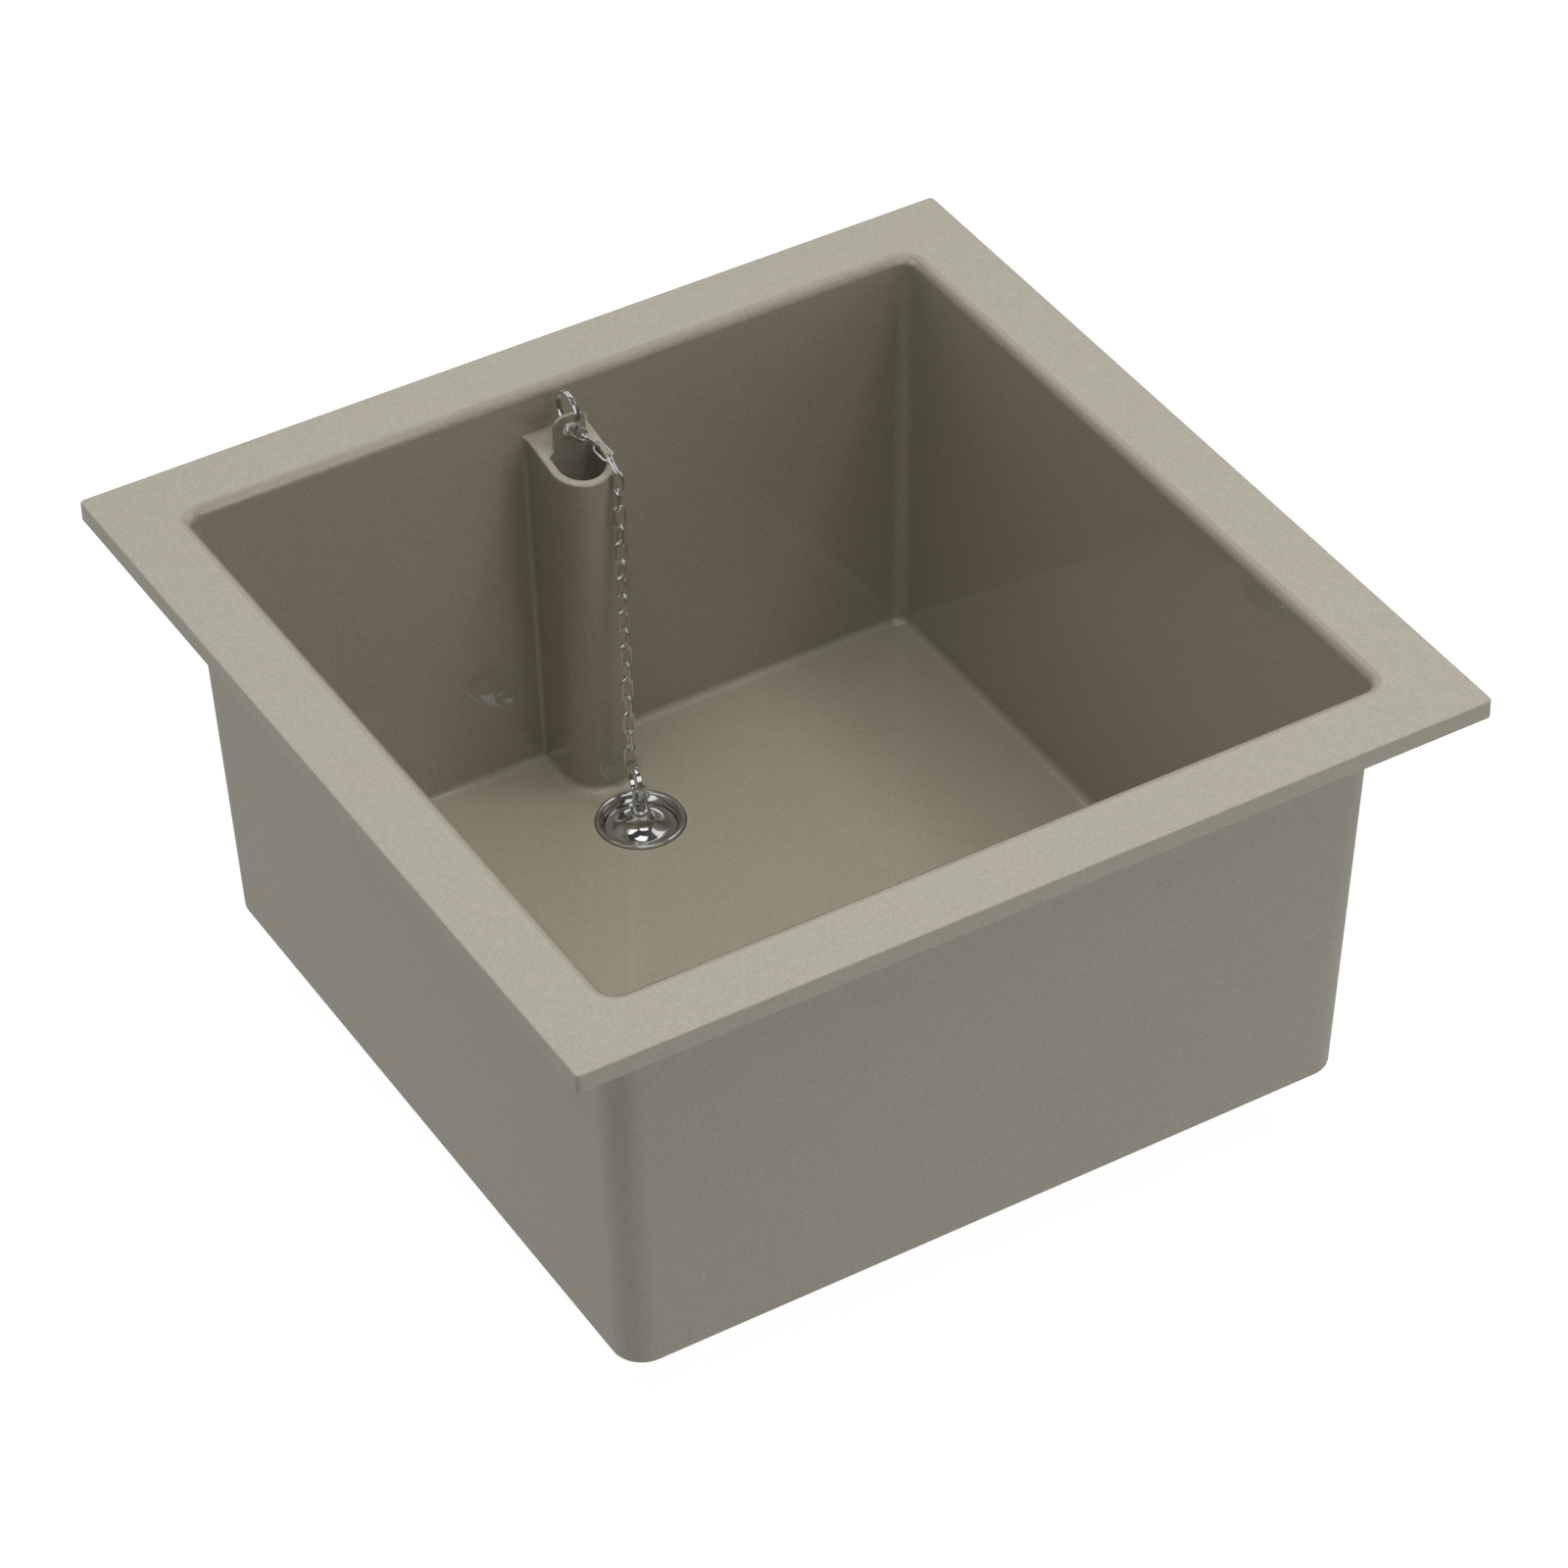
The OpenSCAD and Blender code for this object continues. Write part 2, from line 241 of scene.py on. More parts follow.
def make_shaft():
    ri = 1.1

    def outline(o, z_of):
        raw = [("a", a) for a in np.linspace(180, 360, 33)] + [("k", 1), ("b", 1), ("b", 0), ("b", -1), ("k", -1)]
        out = []
        for kind, v in raw:
            z = -100.0
            for _ in range(4):
                yc = col_y(z) - 0.5
                yb = 186.5 + K * (min(z, -29.5) + 29.5)
                r = 12.4
                if kind == "a":
                    x, y = (r + o) * math.cos(math.radians(v)), yc + (r + o) * math.sin(math.radians(v))
                elif kind == "k":
                    x, y = v * (r + o), yb - 2.4
                else:
                    x, y = v * 9.0, yb
                z = z_of(y)
            out.append((COL_X + x, y, z))
        return out

    rings = [outline(0, lambda y: -232.4), outline(0, lambda y: -130.0)]
    for a in np.linspace(0, 90, 6):
        c, s = math.cos(math.radians(a)), math.sin(math.radians(a))
        rings.append(outline(ri * (1 - c), lambda y, s=s: lip(y) - ri * (1 - s) + (0.01 if s > 0.999 else 0)))
    rings.append(outline(ri, lambda y: lip(y) + 12))
    return stack("shaft", rings)


def revolve(name, prof, centre, n=72):
    rings = [[(centre[0] + r * math.cos(2 * math.pi * i / n), centre[1] + r * math.sin(2 * math.pi * i / n), z)
              for i in range(n)] for r, z in prof]
    return stack(name, rings)


def make_tab():
    x0, x1, z0, z1, rr = -11.0, 7.0, -36.0, -9.5, 5.5
    b = 0.55

    def outline(o, y):
        a, c, t, r = x0 + o, x1 - o, z1 - o, rr - o
        pts = [(a, z0), (c, z0)]
        pts += arc(c - r, t - r, r, 0, 90, 10)
        pts += arc(a + r, t - r, r, 90, 180, 10)
        return [(x, y, z) for x, z in pts]

    rings = []
    for a in np.linspace(0, 90, 4):
        s, c = math.sin(math.radians(a)), math.cos(math.radians(a))
        rings.append(outline(b * (1 - s), 186.48 + b * (1 - c)))
    for a in np.linspace(90, 0, 4):
        s, c = math.sin(math.radians(a)), math.cos(math.radians(a))
        rings.append(outline(b * (1 - s), 188.5 - b * (1 - c)))
    tab = stack("tab", rings)
    cx, cz, r, n = -2.0, -18.0, 3.8, 40
    prof = [(r + 0.5, 184.0), (r + 0.5, 186.47), (r + 0.15, 186.63), (r, 186.98), (r, 188.0),
            (r + 0.15, 188.35), (r + 0.5, 188.51), (r + 0.5, 191.0)]
    hole = stack("hole", [[(cx + q * math.cos(2 * math.pi * i / n), y, cz + q * math.sin(2 * math.pi * i / n))
                           for i in range(n)] for q, y in prof])
    boolean(tab, hole, "DIFFERENCE")
    return tab


def box(name, lo, hi):
    (a, b, c), (d, e, f) = lo, hi
    return stack(name, [[(a, b, z), (d, b, z), (d, e, z), (a, e, z)] for z in (c, f)])


basin = make_tub()
boolean(basin, make_column(), "UNION")
boolean(basin, make_shaft(), "DIFFERENCE")
boolean(basin, box("channel", (-11, WASTE[1] + 1, -232.5), (3, 171.5, -226.5)), "DIFFERENCE")
boolean(basin, revolve("waste_cut", [(17.625, -240), (17.625, -232.5), (21, -232.5), (21, -226.5), (20.3, -226.5),
                                     (20.3, -223.4), (23.15, -223.4), (23.15, -220.45), (23.3, -220.12), (23.65, -219.97),
                                     (23.65, -217)], WASTE), "DIFFERENCE")
boolean(basin, make_tab(), "UNION")


def tidy(obj, angle=38):
    bm = bmesh.new()
    bm.from_mesh(obj.data)
    bmesh.ops.remove_doubles(bm, verts=bm.verts[:], dist=4e-6)
    bmesh.ops.dissolve_degenerate(bm, dist=4e-6, edges=bm.edges[:])
    bmesh.ops.recalc_face_normals(bm, faces=bm.faces[:])
    for f in bm.faces:
        f.smooth = True
    bm.to_mesh(obj.data)
    bm.free()
    obj.data.set_sharp_from_angle(angle=math.radians(angle))
    w = obj.modifiers.new("normals", "WEIGHTED_NORMAL")
    w.mode = "FACE_AREA"
    w.weight = 50
    w.keep_sharp = True


tidy(basin)
co = np.empty(len(basin.data.vertices) * 3, np.float64)
basin.data.vertices.foreach_get("co", co)
co = co.reshape(-1, 3) * 1000 - np.array([0, 0, HT])
mouth_edge = inner(-MOUTH) + MOUTH * SLI


def off_square(h, r):
    """Distance of each vertex outside a rounded square, in plan."""
    dx = np.maximum(np.abs(co[:, 0]) - (h - r), 0)
    dy = np.maximum(np.abs(co[:, 1]) - (h - r), 0)
    return np.hypot(dx, dy) - r


low = co[:, 2] < -MOUTH - 0.1
outside = np.where(low, off_square(inner(co[:, 2]), 8.0), off_square(mouth_edge, 8.0 + mouth_edge - inner(0)))
polish = np.where((outside < np.where(low, 0.5, 0.05)) & (co[:, 2] > -222), 1.0, 0.0)
att = basin.data.attributes.new("polish", "FLOAT", "POINT")
att.data.foreach_set("value", polish.astype(np.float32))


# ---------------------------------------------------------------- materials
def new_material(name):
    m = bpy.data.materials.new(name)
    m.use_nodes = True
    nt = m.node_tree
    nt.nodes.clear()
    out = nt.nodes.new("ShaderNodeOutputMaterial")
    p = nt.nodes.new("ShaderNodeBsdfPrincipled")
    nt.links.new(p.outputs["BSDF"], out.inputs["Surface"])
    tc = nt.nodes.new("ShaderNodeTexCoord")
    return m, nt, p, tc


def noise(nt, tc, scale, detail=2.0, rough=0.5, coord="Object"):
    n = nt.nodes.new("ShaderNodeTexNoise")
    n.inputs["Scale"].default_value = scale
    n.inputs["Detail"].default_value = detail
    n.inputs["Roughness"].default_value = rough
    nt.links.new(tc.outputs[coord], n.inputs["Vector"])
    return n.outputs["Fac"]


def math_node(nt, op, a, b=None, c=None):
    n = nt.nodes.new("ShaderNodeMath")
    n.operation = op
    for i, v in enumerate((a, b, c)):
        if v is None:
            continue
        if isinstance(v, (int, float)):
            n.inputs[i].default_value = v
        else:
            nt.links.new(v, n.inputs[i])
    return n.outputs[0]


def remap(nt, v, a, b, c, d):
    n = nt.nodes.new("ShaderNodeMapRange")
    n.inputs["From Min"].default_value = a
    n.inputs["From Max"].default_value = b
    n.inputs["To Min"].default_value = c
    n.inputs["To Max"].default_value = d
    nt.links.new(v, n.inputs["Value"])
    return n.outputs["Result"]


def mix_colour(nt, f, a, b):
    n = nt.nodes.new("ShaderNodeMix")
    n.data_type = "RGBA"
    if isinstance(f, (int, float)):
        n.inputs[0].default_value = f
    else:
        nt.links.new(f, n.inputs[0])
    for i, v in ((6, a), (7, b)):
        if isinstance(v, tuple):
            n.inputs[i].default_value = (*v, 1)
        else:
            nt.links.new(v, n.inputs[i])
    return n.outputs[2]


def bump(nt, p, height, strength, distance):
    b = nt.nodes.new("ShaderNodeBump")
    b.inputs["Strength"].default_value = strength
    b.inputs["Distance"].default_value = distance
    nt.links.new(height, b.inputs["Height"])
    nt.links.new(b.outputs["Normal"], p.inputs["Normal"])
    return b


def composite():
    m, nt, p, tc = new_material("composite")
    a = nt.nodes.new("ShaderNodeAttribute")
    a.attribute_name = "polish"
    pol = a.outputs["Fac"]
    grain = noise(nt, tc, 1500, 2, 0.6)
    speck = noise(nt, tc, 620, 3, 0.65)
    cloud = noise(nt, tc, 22, 3, 0.5)
    blotch = noise(nt, tc, 5, 2, 0.5)
    base = (0.405, 0.378, 0.305)
    light = tuple(min(1, c * 1.22) for c in base)
    dark = tuple(c * 0.80 for c in base)
    g = math_node(nt, "ADD", math_node(nt, "MULTIPLY", remap(nt, grain, 0.3, 0.7, 0, 1), 0.5),
                  math_node(nt, "MULTIPLY", remap(nt, speck, 0.3, 0.7, 0, 1), 0.5))
    c1 = mix_colour(nt, g, dark, light)
    c2 = mix_colour(nt, remap(nt, cloud, 0.35, 0.65, 0.0, 0.10), c1, (0.43, 0.42, 0.35))
    c3 = mix_colour(nt, remap(nt, blotch, 0.35, 0.65, 0.0, 0.06), c2, (0.36, 0.33, 0.26))
    # Inside the bowl the colour is multiplied by a darker, warmer tint: partly the polished finish, partly painted
    # shade and painted warm bounce light.
    inside_tint_and_shade = nt.nodes.new("ShaderNodeMix")
    inside_tint_and_shade.data_type = "RGBA"
    inside_tint_and_shade.blend_type = "MULTIPLY"
    nt.links.new(pol, inside_tint_and_shade.inputs[0])
    nt.links.new(c3, inside_tint_and_shade.inputs[6])
    inside_tint_and_shade.inputs[7].default_value = (0.79, 0.767, 0.722, 1)
    nt.links.new(inside_tint_and_shade.outputs[2], p.inputs["Base Color"])
    r_out = remap(nt, speck, 0.3, 0.7, 0.46, 0.58)
    r_in = remap(nt, cloud, 0.3, 0.7, 0.30, 0.38)
    r = nt.nodes.new("ShaderNodeMix")
    nt.links.new(pol, r.inputs[0])
    nt.links.new(r_out, r.inputs[2])
    nt.links.new(r_in, r.inputs[3])
    nt.links.new(r.outputs[0], p.inputs["Roughness"])
    p.inputs["Specular IOR Level"].default_value = 0.38
    nt.links.new(pol, p.inputs["Coat Weight"])
    p.inputs["Coat Roughness"].default_value = 0.02
    p.inputs["Coat IOR"].default_value = 1.55
    h = math_node(nt, "ADD", math_node(nt, "MULTIPLY", grain, 0.6), math_node(nt, "MULTIPLY", speck, 0.8))
    bump(nt, p, h, 0.22, 0.00006)
    return m


def chrome():
    m, nt, p, tc = new_material("chrome")
    fine = noise(nt, tc, 2600, 2, 0.5)
    wave = noise(nt, tc, 90, 2, 0.5)
    film = noise(nt, tc, 55, 3, 0.6)
    c = mix_colour(nt, remap(nt, film, 0.35, 0.7, 0, 1), (0.78, 0.78, 0.765), (0.67, 0.665, 0.64))
    nt.links.new(c, p.inputs["Base Color"])
    p.inputs["Metallic"].default_value = 1.0
    r = math_node(nt, "ADD", remap(nt, fine, 0.3, 0.7, 0.06, 0.10), remap(nt, film, 0.4, 0.75, 0.0, 0.08))
    nt.links.new(r, p.inputs["Roughness"])
    bump(nt, p, wave, 0.25, 0.00004)
    return m


def rubber():
    m, nt, p, tc = new_material("rubber")
    fine = noise(nt, tc, 1800, 3, 0.6)
    film = noise(nt, tc, 90, 3, 0.6)
    c = mix_colour(nt, remap(nt, film, 0.35, 0.7, 0, 1), (0.012, 0.012, 0.013), (0.035, 0.034, 0.033))
    nt.links.new(c, p.inputs["Base Color"])
    nt.links.new(remap(nt, fine, 0.3, 0.7, 0.55, 0.78), p.inputs["Roughness"])
    bump(nt, p, fine, 0.5, 0.00008)
    return m


def nylon():
    m, nt, p, tc = new_material("nylon")
    fine = noise(nt, tc, 1200, 2, 0.5)
    film = noise(nt, tc, 70, 3, 0.6)
    c = mix_colour(nt, remap(nt, film, 0.35, 0.7, 0, 1), (0.74, 0.72, 0.63), (0.66, 0.63, 0.53))
    nt.links.new(c, p.inputs["Base Color"])
    nt.links.new(remap(nt, fine, 0.3, 0.7, 0.38, 0.55), p.inputs["Roughness"])
    bump(nt, p, fine, 0.3, 0.00005)
    return m


def brass():
    m, nt, p, tc = new_material("brass")
    fine = noise(nt, tc, 2200, 2, 0.5)
    film = noise(nt, tc, 80, 4, 0.6)
    c = mix_colour(nt, remap(nt, film, 0.35, 0.7, 0, 1), (0.72, 0.52, 0.24), (0.50, 0.33, 0.13))
    nt.links.new(c, p.inputs["Base Color"])
    p.inputs["Metallic"].default_value = 1.0
    nt.links.new(math_node(nt, "ADD", remap(nt, fine, 0.3, 0.7, 0.22, 0.34), remap(nt, film, 0.3, 0.7, 0, 0.14)),
                 p.inputs["Roughness"])
    bump(nt, p, fine, 0.3, 0.00004)
    return m


MATS = {"composite": composite(), "chrome": chrome(), "rubber": rubber(), "nylon": nylon(), "brass": brass()}


def paint(obj, slot):
    obj.data.materials.clear()
    obj.data.materials.append(MATS[slot])


paint(basin, "composite")
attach(basin, "fixed")
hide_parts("basin")


# ---------------------------------------------------------------- waste, plug, rings and chain
def smooth_line(pts, per=5):
    """A finer line through the points (Catmull-Rom)."""
    q = [np.array(v, float) for v in pts]
    q = [2 * q[0] - q[1]] + q + [2 * q[-1] - q[-2]]
    out = []
    for i in range(1, len(q) - 2):
        a, b, c, d = q[i - 1:i + 3]
        for j in range(per):
            t = j / per
            out.append(tuple(0.5 * (2 * b + (c - a) * t + (2 * a - 5 * b + 4 * c - d) * t * t
                                    + (3 * b - a - 3 * c + d) * t ** 3)))
    return out + [tuple(q[-2])]


def loop_grid(name, rows):
    """A closed solid from rows of points that run round in both directions."""
    n, m = len(rows), len(rows[0])
    verts = [v for r in rows for v in r]
    faces = [(i * m + j, i * m + (j + 1) % m, ((i + 1) % n) * m + (j + 1) % m, ((i + 1) % n) * m + j)
             for i in range(n) for j in range(m)]
    return mesh_object(name, verts, faces)


def finish_piece(obj, slot, body, node, angle=32):
    tidy(obj, angle)
    paint(obj, slot)
    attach(obj, body)
    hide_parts(node)


def make_waste():
    cx, cy = WASTE
    fl, seat = -220.0, -224.9
    pitch = 2.309

    def thread(r, z, a, z0, z1):
        ph = (z / pitch + a / (2 * math.pi)) % 1.0
        g = min(1.0, max(0.0, (abs(2 * ph - 1) - 0.12) / 0.72))
        fade = min(1.0, max(0.0, (z - z0) / 1.2), max(0.0, (z1 - z) / 1.2))
        return r - 1.0 * (1 - g * g * (3 - 2 * g)) * fade

    prof = [(14.5, -280.0, 0), (16.0, -280.0, 0), (16.625, -279.4, 0)]
    prof += [(16.625, z, 1) for z in np.arange(-279.2, -253.0, 0.21)]
    prof += [(16.625, -252.8, 0), (15.925, -252.3, 0), (15.925, -251.7, 0), (16.625, -251.2, 0)]
    prof += [(16.625, z, 2) for z in np.arange(-251.0, -238.0, 0.21)]
    prof += [(16.625, -237.8, 0), (16.625, -226.2, 0), (19.5, -226.2, 0), (19.9, -225.8, 0), (19.9, -222.4, 0),
             (22.5, -222.4, 0), (22.9, -222.0, 0), (22.9, -219.6, 0)]
    top = smooth_line([(22.9, fl + 0.6), (22.78, fl + 1.05), (22.45, fl + 1.38), (21.9, fl + 1.52), (21.4, fl + 1.5),
                       (20.8, fl + 1.28), (20.3, fl + 0.9), (19.95, fl + 0.4), (19.65, fl - 0.4), (19.1, fl - 2.0),
                       (18.7, fl - 3.0), (18.5, fl - 3.9)], 4)
    prof += [(r, z, 0) for r, z in top]
    prof += [(18.45, seat, 0), (15.2, seat, 0), (13.9, seat - 1.8, 0), (13.9, -279.4, 0)]
    n = 96
    rows = []
    for i in range(n):
        a = 2 * math.pi * i / n
        row = []
        for r, z, k in prof:
            if k == 1:
                r = thread(r, z, a, -279.2, -253.0)
            elif k == 2:
                r = thread(r, z, a, -251.0, -238.0)
            row.append((cx + r * math.cos(a), cy + r * math.sin(a), z))
        rows.append(row)
    w = loop_grid("waste", rows)

    def turned_box(name, lo, hi, angle):
        c, d = math.cos(math.radians(angle)), math.sin(math.radians(angle))
        return stack(name, [[(cx + x * c - y * d, cy + x * d + y * c, z)
                             for x, y in ((lo[0], lo[1]), (hi[0], lo[1]), (hi[0], hi[1]), (lo[0], hi[1]))]
                            for z in (lo[2], hi[2])])

    for a in (90, 210, 330):
        boolean(w, turned_box("slot", (10, -5, -232.5), (22, 5, -226.5), a), "DIFFERENCE")
    bars = turned_box("bar", (-14.7, -1.2, -239), (14.7, 1.2, -236), 45)
    boolean(bars, turned_box("bar2", (-14.7, -1.2, -239), (14.7, 1.2, -236), 135), "UNION")
    boolean(w, bars, "UNION")
    return w


def make_cap():
    b, f = -224.75, -220.0
    top = smooth_line([(18.1, f - 3.75), (18.02, f - 3.58), (17.8, f - 3.48), (17.0, f - 3.46), (15.2, f - 3.52),
                       (13.8, f - 3.33), (12.5, f - 2.9), (11, f - 2.2), (9.5, f - 1.25), (8, f - 0.1), (7.1, f + 1),
                       (6.3, f + 2.5), (5.7, f + 4.2), (5.3, f + 5.8), (5, f + 6.8), (4.6, f + 7.5), (4, f + 7.88),
                       (3.2, f + 8), (2.2, f + 8)], 4)
    prof = [(2.05, -220.75), (2.05, b), (17.8, b), (18.1, b + 0.3)] + top + [(0.6, f + 8.0)]
    cap = revolve("cap", prof, WASTE, 96)
    for s in (-1, 1):
        c = (WASTE[0] + s * 3 * math.cos(math.radians(-14)), WASTE[1] + s * 3 * math.sin(math.radians(-14)))
        boolean(cap, revolve("foot", [(0.95, f + 4), (0.95, f + 7.8), (1.15, f + 8.05), (1.15, f + 9)], c, 32), "DIFFERENCE")
    return cap


def tube(name, pts, outs, side, r, n=16, closed=True):
    """Round wire along a flat line: outs are the in-plane normals, side the plane's normal."""
    rows = []
    for p, q in zip(pts, outs):
        p, q, s = np.array(p, float), np.array(q, float), np.array(side, float)
        rows.append([tuple(p + r * math.cos(2 * math.pi * j / n) * q + r * math.sin(2 * math.pi * j / n) * s)
                     for j in range(n)])
    return loop_grid(name, rows) if closed else stack(name, rows)


def make_eye():
    f, c, d = -220.0, math.cos(math.radians(-14)), math.sin(math.radians(-14))
    pts, outs = [], []
    for t in (0, 0.5, 1.0):
        pts.append((3.0, f + 4.1 + 14.9 * t))
        outs.append((1.0, 0.0))
    for a in np.linspace(0, 180, 25)[1:-1]:
        pts.append((3 * math.cos(math.radians(a)), f + 19 + 3 * math.sin(math.radians(a))))
        outs.append((math.cos(math.radians(a)), math.sin(math.radians(a))))
    for t in (1.0, 0.5, 0):
        pts.append((-3.0, f + 4.1 + 14.9 * t))
        outs.append((-1.0, 0.0))
    return tube("eye", [(WASTE[0] + u * c, WASTE[1] + u * d, z) for u, z in pts],
                [(u * c, u * d, z) for u, z in outs], (-d, c, 0), 0.9, 20, False)


def make_ring(name, centre, axis):
    """A split ring: two coils of flat wire side by side, each coil's end cut off short."""
    ax = np.array(axis, float)
    up = np.array((0.0, 0.0, 1.0))
    sd = np.cross(up, ax)
    r0, r1, w, cr, g = 9.2, 10.5, 1.35, 0.34, 0.13
    prof = []
    for cx, cr0, a0 in ((w - cr, r1 - cr, 0), (-w + cr, r1 - cr, 90), (-w + cr, r0 + cr, 180), (w - cr, r0 + cr, 270)):
        if a0 == 90:
            prof += [(0.16, r1), (0.05, r1 - g), (-0.05, r1 - g), (-0.16, r1)]
        if a0 == 270:
            prof += [(-0.16, r0), (-0.05, r0 + g), (0.05, r0 + g), (0.16, r0)]
        prof += [(cx + cr * math.cos(math.radians(a0 + t)), cr0 + cr * math.sin(math.radians(a0 + t)))
                 for t in (0, 18, 36, 54, 72, 90)]
    n = 128
    rows = []
    for i in range(n):
        a = 2 * math.pi * i / n
        rad = math.cos(a) * up + math.sin(a) * sd
        rows.append([tuple(np.array(centre) + ax * x + rad * r) for x, r in prof])
    ring = loop_grid(name, rows)
    for sgn, a in ((1, 205), (-1, 155)):
        rad = math.cos(math.radians(a)) * up + math.sin(math.radians(a)) * sd
        tan = np.cross(ax, rad)
        pts = []
        for r in (8.5, 11.2):
            pts.append([tuple(np.array(centre) + rad * r + tan * t + ax * x * sgn)
                        for x, t in ((0.0, -0.2), (1.7, -0.2), (1.7, 0.2), (0.0, 0.2))])
        boolean(ring, stack("cut", pts), "DIFFERENCE")
    return ring


TOP = [(-3.7, 181.6, -14.2), (1.8, 180.3, -19.3), (7.4, 177.5, -25.5), (8.7, 167.2, -27.3), (8.6, 159.2, -32.1)]
RUN_END = (-2.1, 138.3, -185.3)
FACING = np.array((-0.398, -0.682, 0.615))


def link_turn(k):
    return {1: -10, 4: 13, 5: 33, 6: 8, 7: -17, 20: -20, 21: -5}.get(k, 0 if k < 4 else -30)


def joint(i):
    if i < 4:
        return np.array(TOP[i])
    return np.array(TOP[4]) + (np.array(RUN_END) - np.array(TOP[4])) * (i - 4) / 16


def make_link(k):
    u = joint(k) - joint(k - 1)
    u = u / np.linalg.norm(u)
    w = np.cross(u, FACING) if k % 2 else FACING - FACING.dot(u) * u
    w = w / np.linalg.norm(w)
    a = math.radians(link_turn(k))
    w = w * math.cos(a) + np.cross(u, w) * math.sin(a)
    v = np.cross(u, w)
    c = (joint(k) + joint(k - 1)) / 2
    hw, hs = 2.75, 3.4
    pts, outs = [], []
    for s in (1, -1):
        for t in np.linspace(0, 180, 17):
            ct, st = math.cos(math.radians(t)), math.sin(math.radians(t))
            pts.append((s * hw * ct, s * (hs + hw * st)))
            outs.append((s * ct, s * st))
        pts.append((-s * hw, 0.0))
        outs.append((-s, 0.0))
    return tube("chain", [tuple(c + w * x + u * z) for x, z in pts], [tuple(w * x + u * z) for x, z in outs], v, 0.65, 16)


finish_piece(make_waste(), "chrome", "fixed", "waste_body")
finish_piece(make_cap(), "chrome", "plug", "plug_cap")
finish_piece(make_eye(), "chrome", "plug", "plug_eye")
finish_piece(make_ring("ring_up", (-2, 187.7, -7.5), (1, 0, 0)), "chrome", "upper_ring", "upper_ring")
finish_piece(make_ring("ring_low", (-4.1, 130.1, -200.1), (math.cos(math.radians(-14)), math.sin(math.radians(-14)), 0)),
             "chrome", "lower_ring", "lower_ring")
for k in range(1, 22):
    finish_piece(make_link(k), "chrome", "link_%02d" % k, "link_%02d" % k)

SLOT = {"flange_seal": "rubber", "under_washer": "rubber", "slip_washer": "nylon", "backnut": "brass",
        "plug_seal": "rubber", "plug_retainer": "chrome", "plug_screw": "brass"}
for n, s in SLOT.items():
    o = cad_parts[n]
    paint(o, s)
    w = o.modifiers.new("weld", "WELD")
    w.merge_threshold = 1e-6
    b = o.modifiers.new("edges", "BEVEL")
    b.width = 0.0003 if n in ("under_washer", "backnut") else 0.00015
    b.segments = 2
    b.limit_method = "ANGLE"
    b.angle_limit = math.radians(40)

# ---------------------------------------------------------------- studio
floor = bpy.data.meshes.new("floor")
floor.from_pydata([(-12, -12, 0), (12, -12, 0), (12, 12, 0), (-12, 12, 0)], [], [(0, 1, 2, 3)])
floor = bpy.data.objects.new("floor", floor)
bpy.context.scene.collection.objects.link(floor)
floor.location.z = -0.0005
floor.visible_diffuse = False
floor.visible_glossy = False
floor.visible_shadow = False
fm, nt, p, tc = new_material("floor")
fn = noise(nt, tc, 30, 2)
nt.links.new(mix_colour(nt, remap(nt, fn, 0.3, 0.7, 0, 1), (0.155, 0.155, 0.155), (0.165, 0.165, 0.165)), p.inputs["Base Color"])
p.inputs["Emission Color"].default_value = (1, 1, 1, 1)
p.inputs["Emission Strength"].default_value = 0.95
p.inputs["Roughness"].default_value = 0.9
p.inputs["Specular IOR Level"].default_value = 0.1
floor.data.materials.append(fm)

world = bpy.data.worlds.new("world")
bpy.context.scene.world = world
world.use_nodes = True
nt = world.node_tree
bg = nt.nodes["Background"]
tc = nt.nodes.new("ShaderNodeTexCoord")
sep = nt.nodes.new("ShaderNodeSeparateXYZ")
nt.links.new(tc.outputs["Generated"], sep.inputs[0])
ramp = nt.nodes.new("ShaderNodeValToRGB")
nt.links.new(remap(nt, sep.outputs["Z"], -1, 1, 0, 1), ramp.inputs[0])
ramp.color_ramp.elements[0].position = 0.49
ramp.color_ramp.elements[0].color = (0.56, 0.56, 0.56, 1)
ramp.color_ramp.elements[1].position = 0.51
ramp.color_ramp.elements[1].color = (0.05, 0.05, 0.05, 1)
nt.links.new(ramp.outputs[0], bg.inputs["Color"])
bg.inputs["Strength"].default_value = 1.0


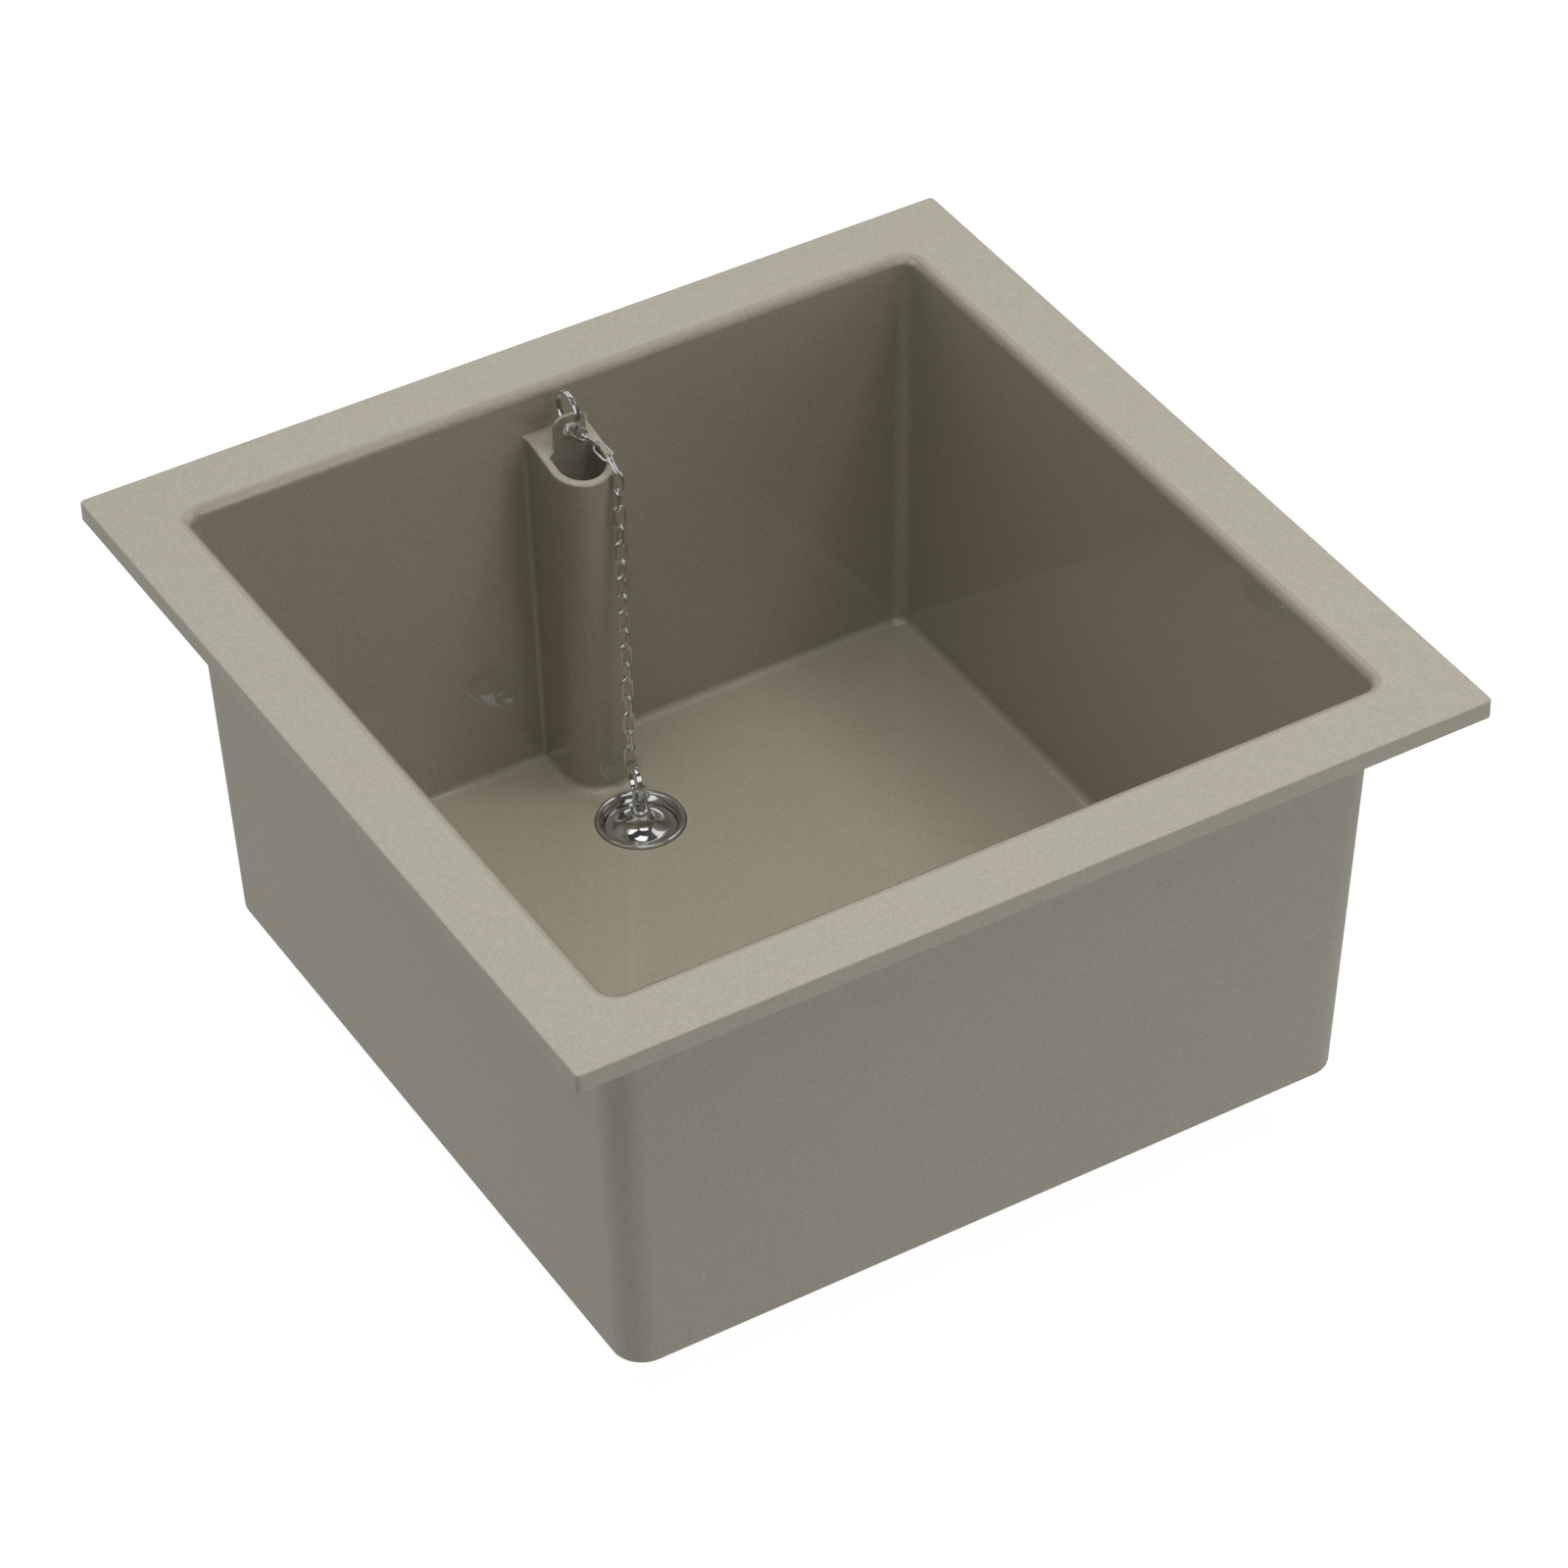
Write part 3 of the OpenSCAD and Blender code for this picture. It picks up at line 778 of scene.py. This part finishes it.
def area(name, direction, distance, size, energy, target=(0, 0, 0.2), colour=(1, 1, 1)):
    d = bpy.data.lights.new(name, "AREA")
    d.shape = "SQUARE"
    d.size = size
    d.energy = energy
    d.color = colour
    o = bpy.data.objects.new(name, d)
    bpy.context.scene.collection.objects.link(o)
    v = Vector(direction).normalized()
    o.location = Vector(target) + v * distance
    o.rotation_mode = "QUATERNION"
    o.rotation_quaternion = (-v).to_track_quat("-Z", "Y")
    return o


for name, direction, distance, size, energy in (  # soft light on the body, kept out of its reflections
        ("top", (-0.25, -0.1, 1), 2.6, 1.6, 20.0), ("top_right", (0.45, 0.1, 1), 2.6, 1.4, 8.0),
        ("top_back", (0.1, 0.45, 1), 2.6, 1.4, 13.0), ("top_front", (0.1, -0.45, 1), 2.6, 1.4, 11.5),
        ("left", (-0.95, 0.3, 0.25), 2.6, 1.6, 5.0), ("left_back", (-0.8, 0.8, 0.3), 2.6, 1.6, 9.5),
        ("front_right", (0.6, -0.8, 0.25), 2.6, 1.6, 14.8), ("key_soft", (0.417, -0.188, 0.889), 3.0, 0.6, 9.5)):
    area(name, direction, distance, size, energy).visible_glossy = False
for name, direction, size, energy in (  # what the polished faces and the chrome reflect
        ("sky", (0, 0, 1), 1.1, 5.0), ("sky_left", (-1, 0.1, 0.7), 2.6, 25.0), ("sky_right", (1, 0.1, 0.7), 2.6, 18.0),
        ("sky_front", (-0.1, -1, 0.7), 2.6, 25.0), ("sky_back", (0.3, 1, 0.9), 2.6, 14.0)):
    area(name, direction, 2.8, size, energy).visible_diffuse = False
area("key", (0.417, -0.188, 0.889), 3.0, 0.5, 10.0)

# ---------------------------------------------------------------- camera
cam = bpy.data.cameras.new("camera")
cam.sensor_width = 36
cam.lens = 141.3613923
cam.clip_start, cam.clip_end = 0.1, 60
co = bpy.data.objects.new("camera", cam)
bpy.context.scene.collection.objects.link(co)
rot = Matrix(((0.856269, 0.339437, -0.389341), (-0.516312, 0.540541, -0.664257), (-0.015019, 0.769804, 0.638104)))
co.matrix_world = Matrix.Translation((-1.14008615, -1.95484944, 2.04276913)) @ rot.to_4x4()
bpy.context.scene.camera = co
bpy.context.scene.view_settings.view_transform = "Standard"
bpy.context.scene.view_settings.look = "None"
